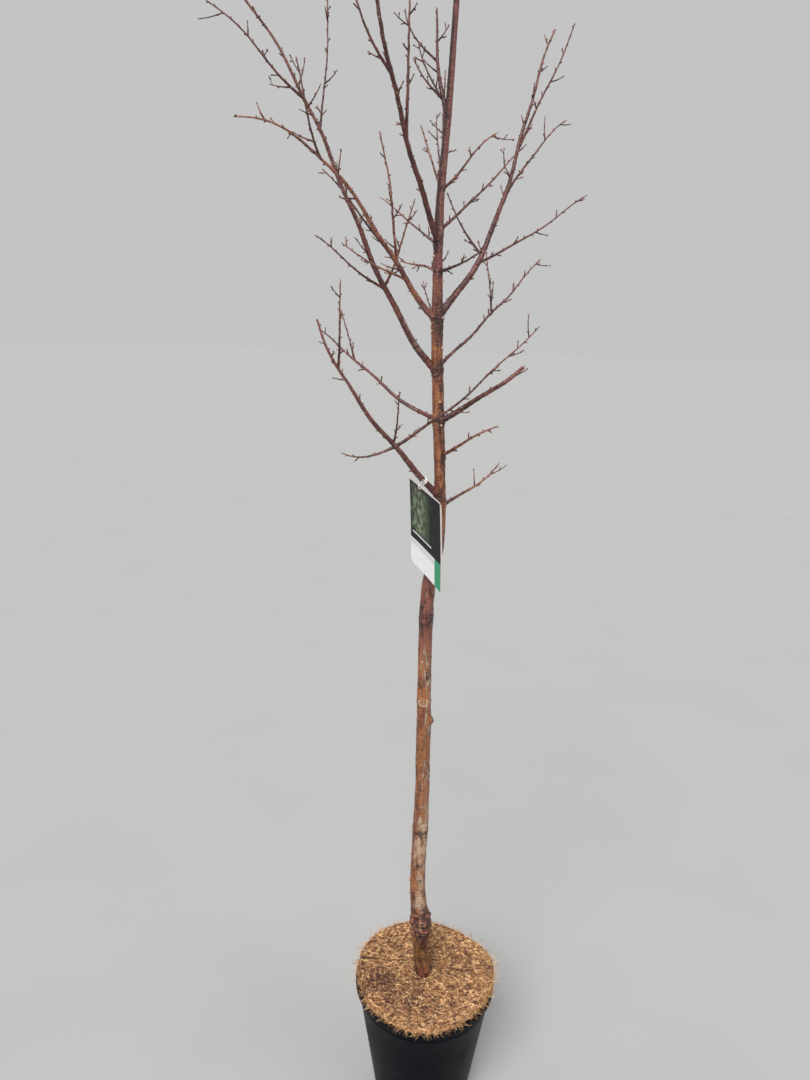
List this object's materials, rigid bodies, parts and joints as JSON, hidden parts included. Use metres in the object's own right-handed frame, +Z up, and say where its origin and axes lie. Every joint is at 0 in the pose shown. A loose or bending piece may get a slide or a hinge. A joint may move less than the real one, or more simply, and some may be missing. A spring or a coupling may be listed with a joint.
{
  "type": "potted sapling",
  "caption": "Young bare tree with a tall slender stem, coppery banded bark and thin upright boughs, in a black nursery pot under a coir mulch mat, with a hanging card label.",
  "frame": {"origin": "middle of the pot's flat underside, which stands on the floor", "axes": "+Z up along the stem, +X to the right in the picture, +Y to the back, away from the camera"},
  "size_m": [0.5703, 0.4696, 2.3431],
  "materials": {
    "pot_plastic": "matte",
    "compost": "matte",
    "coir": "matte",
    "bark": "satin",
    "bough_bark": "satin",
    "twigs": "satin",
    "label_card": "satin",
    "tie": "satin"
  },
  "bodies": {
    "root": {"bough_high_left": "bough_bark", "bough_high_right": "bough_bark", "bough_long_left": "bough_bark", "bough_low_left": "bough_bark", "bough_low_right": "bough_bark", "bough_mid_left": "bough_bark", "bough_mid_right": "bough_bark", "bough_rear_high": "bough_bark", "bough_rear_low": "bough_bark", "bough_rear_right": "bough_bark", "bough_second_leader": "bough_bark", "coir_mat": "coir", "compost": "compost", "label": "label_card", "label_tie": "tie", "pot": "pot_plastic", "stem": "bark", "twigs_back_left": "twigs", "twigs_crown_front": "twigs", "twigs_crown_left": "twigs", "twigs_crown_right": "twigs", "twigs_fore_right": "twigs", "twigs_front_right": "twigs", "twigs_high_left": "twigs", "twigs_high_right": "twigs", "twigs_left_leader": "twigs", "twigs_long_left": "twigs", "twigs_low_left": "twigs", "twigs_low_right": "twigs", "twigs_mid_left": "twigs", "twigs_mid_right": "twigs", "twigs_rear_high": "twigs", "twigs_rear_low": "twigs", "twigs_rear_right": "twigs", "twigs_second_leader": "twigs", "twigs_thin_left": "twigs", "twigs_top_left": "twigs", "twigs_top_right": "twigs", "twigs_upper_right": "twigs"}
  },
  "joints": []
}
